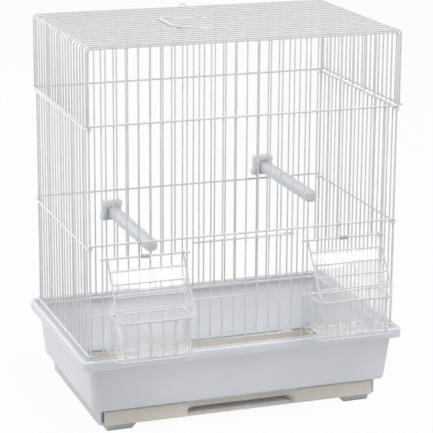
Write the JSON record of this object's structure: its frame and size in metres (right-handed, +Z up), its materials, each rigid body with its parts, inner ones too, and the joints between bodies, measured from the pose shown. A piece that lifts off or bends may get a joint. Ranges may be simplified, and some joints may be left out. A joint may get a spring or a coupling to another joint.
{
  "type": "bird cage",
  "caption": "Rectangular wire bird cage with a welded front door, sprung feeder flaps over outside seed cups, perches, a folding carry handle and a moulded tub with a slide-out drawer",
  "frame": {"origin": "on the floor under the middle of the whole object", "axes": "+Z up, the front with door and feeders towards -Y, +X to the right seen from the front"},
  "size_m": [0.3502, 0.2566, 0.4074],
  "materials": {
    "white_wire": "smooth white coating on welded steel wire",
    "spring_steel": "bare spring wire",
    "tub_plastic": "satin moulded plastic, cool white-grey",
    "drawer_plastic": "satin moulded plastic, warm beige-grey",
    "perch_plastic": "satin moulded plastic, pale grey-blue",
    "clear_plastic": "clear moulded plastic"
  },
  "bodies": {
    "cage": {"base_tub": "tub_plastic", "front_posts": "white_wire", "front_top_wire": "white_wire", "front_uprights": "white_wire", "front_rails": "white_wire", "back_posts": "white_wire", "back_top_wire": "white_wire", "back_uprights": "white_wire", "back_rails": "white_wire", "left_side_uprights": "white_wire", "left_side_rails": "white_wire", "right_side_uprights": "white_wire", "right_side_rails": "white_wire", "roof_wires": "white_wire", "cap_left_legs": "white_wire", "cap_left_hem": "white_wire", "cap_right_legs": "white_wire", "cap_right_hem": "white_wire", "roof_stays": "white_wire", "back_loop": "white_wire", "left_feeder_basket_edges": "white_wire", "left_feeder_basket_wires": "white_wire", "left_feeder_hinge_wire": "white_wire", "right_feeder_basket_edges": "white_wire", "right_feeder_basket_wires": "white_wire", "right_feeder_hinge_wire": "white_wire", "left_feeder_cup": "clear_plastic", "left_feeder_spring": "spring_steel", "left_perch": "perch_plastic", "left_perch_clip": "perch_plastic", "right_feeder_cup": "clear_plastic", "right_feeder_spring": "spring_steel", "right_perch": "perch_plastic", "right_perch_clip": "perch_plastic"},
    "drawer": {"drawer_tray": "drawer_plastic"},
    "main_door": {"door_rails": "white_wire", "door_bars": "white_wire", "door_latch": "white_wire"},
    "left_flap": {"left_feeder_flap": "white_wire", "left_feeder_flap_bars": "white_wire"},
    "right_flap": {"right_feeder_flap": "white_wire", "right_feeder_flap_bars": "white_wire"},
    "handle": {"carry_handle": "white_wire"}
  },
  "joints": [
    {"name": "drawer_slide", "type": "slide", "parent": "cage", "child": "drawer", "axis": [0, -1, 0], "range_m": [0, 0.15]},
    {"name": "main_door_hinge", "type": "hinge", "parent": "cage", "child": "main_door", "pos_m": [0.0508, -0.08499, 0.1445], "axis": [0, 0, 1], "range_deg": [0, 95]},
    {"name": "left_flap_hinge", "type": "hinge", "parent": "cage", "child": "left_flap", "pos_m": [-0.10795, -0.08674, 0.1883], "axis": [-1, 0, 0], "range_deg": [0, 100], "stiffness_Nm_per_rad": 0.01, "springref_deg": -28.65, "deforming": ["left_feeder_spring"]},
    {"name": "right_flap_hinge", "type": "hinge", "parent": "cage", "child": "right_flap", "pos_m": [0.10795, -0.08674, 0.1883], "axis": [-1, 0, 0], "range_deg": [0, 100], "stiffness_Nm_per_rad": 0.01, "springref_deg": -28.65, "deforming": ["right_feeder_spring"]},
    {"name": "handle_fold", "type": "hinge", "parent": "cage", "child": "handle", "pos_m": [0, 0.01666, 0.40165], "axis": [0, 1, 0], "range_deg": [0, 170]}
  ]
}
